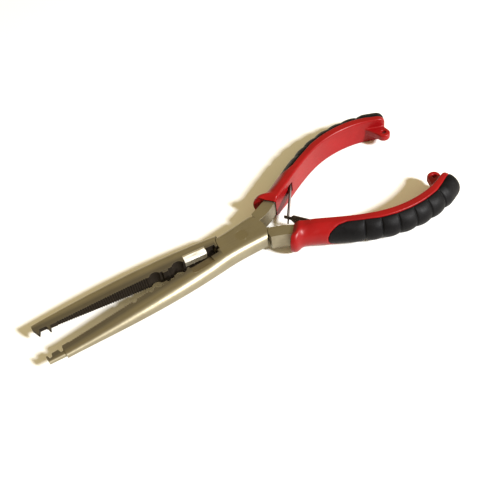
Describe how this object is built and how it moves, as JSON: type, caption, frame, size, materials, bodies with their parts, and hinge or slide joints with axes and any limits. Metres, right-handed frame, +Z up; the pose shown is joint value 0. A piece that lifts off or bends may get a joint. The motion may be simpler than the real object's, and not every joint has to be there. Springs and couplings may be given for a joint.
{
  "type": "fishing pliers",
  "caption": "Long-nose fishing pliers with a box joint, split-ring tip, crimping notches, side cutter, interlocking leaf springs and two-part handles.",
  "frame": {"origin": "on the table the pliers lie on, under the middle of the box around the whole tool at rest", "axes": "+X from the jaw tips to the handle ends, +Y across the handles away from the near handle, +Z up, square to the jaws' plane"},
  "size_m": [0.2142, 0.082, 0.015],
  "materials": {
    "satin_steel": "satin nickel plating with a warm tint",
    "ground_steel": "bright ground",
    "spring_steel": "dark blued",
    "red_plastic": "semi-gloss moulded",
    "black_rubber": "satin moulded with grooves"
  },
  "bodies": {
    "box_side": {"box_half": "satin_steel", "pivot_pin": "satin_steel", "near_cutter": "ground_steel", "far_sleeve": "red_plastic", "far_grip": "black_rubber"},
    "through_side": {"through_half": "satin_steel", "far_cutter": "ground_steel", "near_sleeve": "red_plastic", "near_grip": "black_rubber"},
    "far_leaf": {"far_leaf_spring": "spring_steel"},
    "near_leaf": {"near_leaf_spring": "spring_steel"}
  },
  "joints": [
    {"name": "jaw_pivot", "type": "hinge", "parent": "box_side", "child": "through_side", "pos_m": [0.001, 0, 0.0075], "axis": [0, 0, 1], "range_deg": [-2.5, 8.2], "stiffness_Nm_per_rad": 0.4},
    {"name": "far_leaf_bend", "type": "hinge", "parent": "box_side", "child": "far_leaf", "pos_m": [0.03985, 0.0174, 0.0075], "axis": [0, 0, 1], "range_deg": [-8, 2.5]},
    {"name": "near_leaf_bend", "type": "hinge", "parent": "through_side", "child": "near_leaf", "pos_m": [0.03985, -0.0174, 0.0075], "axis": [0, 0, 1], "range_deg": [-2.5, 8]}
  ],
  "couplings": [
    {"joint": "far_leaf_bend", "follows": "jaw_pivot", "ratio": -0.93},
    {"joint": "near_leaf_bend", "follows": "jaw_pivot", "ratio": 0.93}
  ]
}
